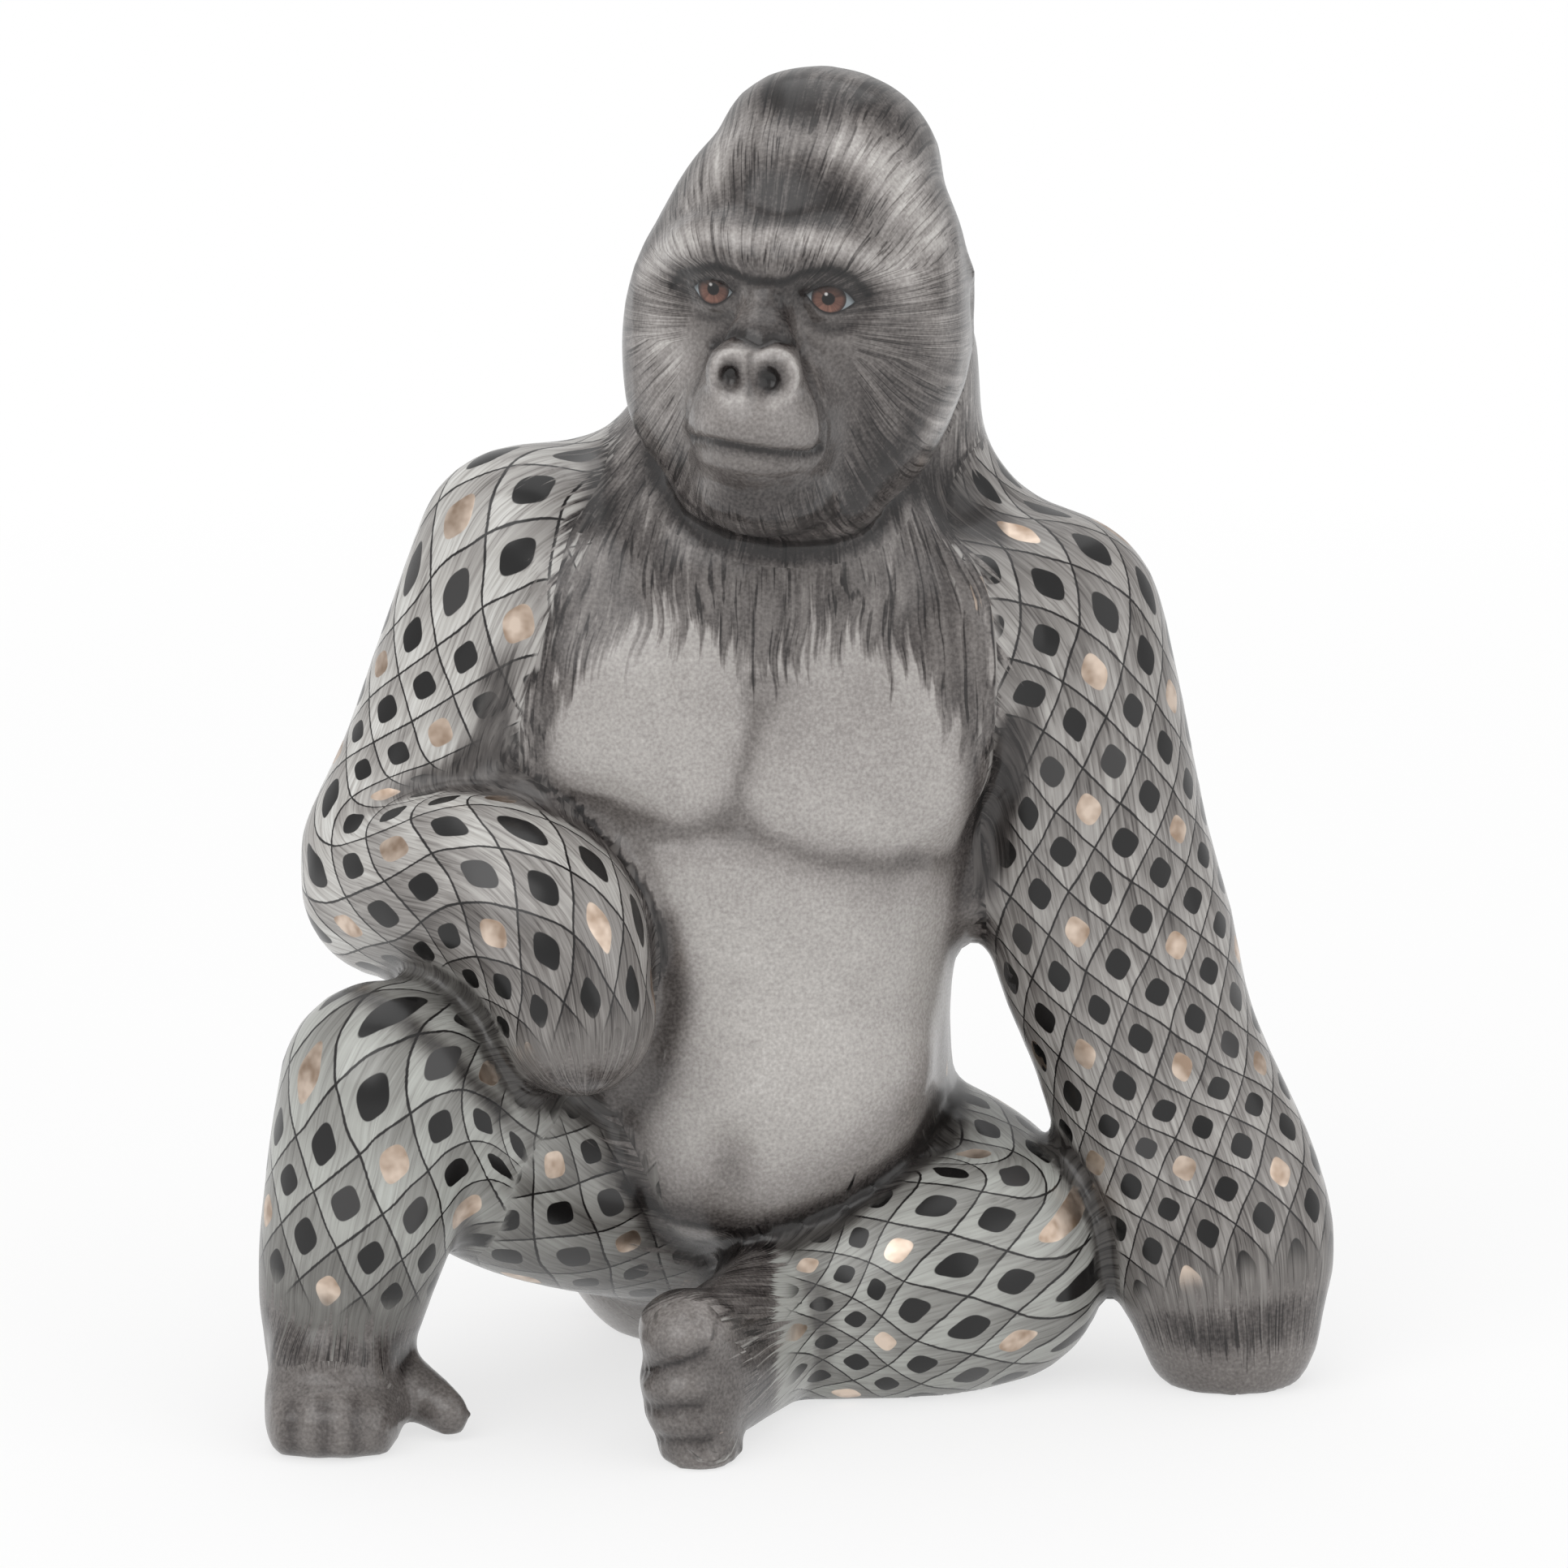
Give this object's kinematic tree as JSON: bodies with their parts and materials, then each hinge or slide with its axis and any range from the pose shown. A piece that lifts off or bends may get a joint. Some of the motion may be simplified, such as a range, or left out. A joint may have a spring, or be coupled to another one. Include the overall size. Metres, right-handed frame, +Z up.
{
  "type": "gorilla figurine",
  "caption": "Seated porcelain gorilla with one knee up and one fist on the ground, in a glazed and hand-painted finish, for display.",
  "frame": {"origin": "middle of the bounding box, on the ground the figurine stands on", "axes": "+Z up; the gorilla's body faces -Y; +X is the gorilla's left, where the standing arm is"},
  "size_m": [0.187, 0.119, 0.2312],
  "materials": {
    "glazed_porcelain": "glazed porcelain, painted under and over the glaze, gloss"
  },
  "bodies": {
    "root": {"gorilla": "glazed_porcelain"}
  },
  "joints": []
}
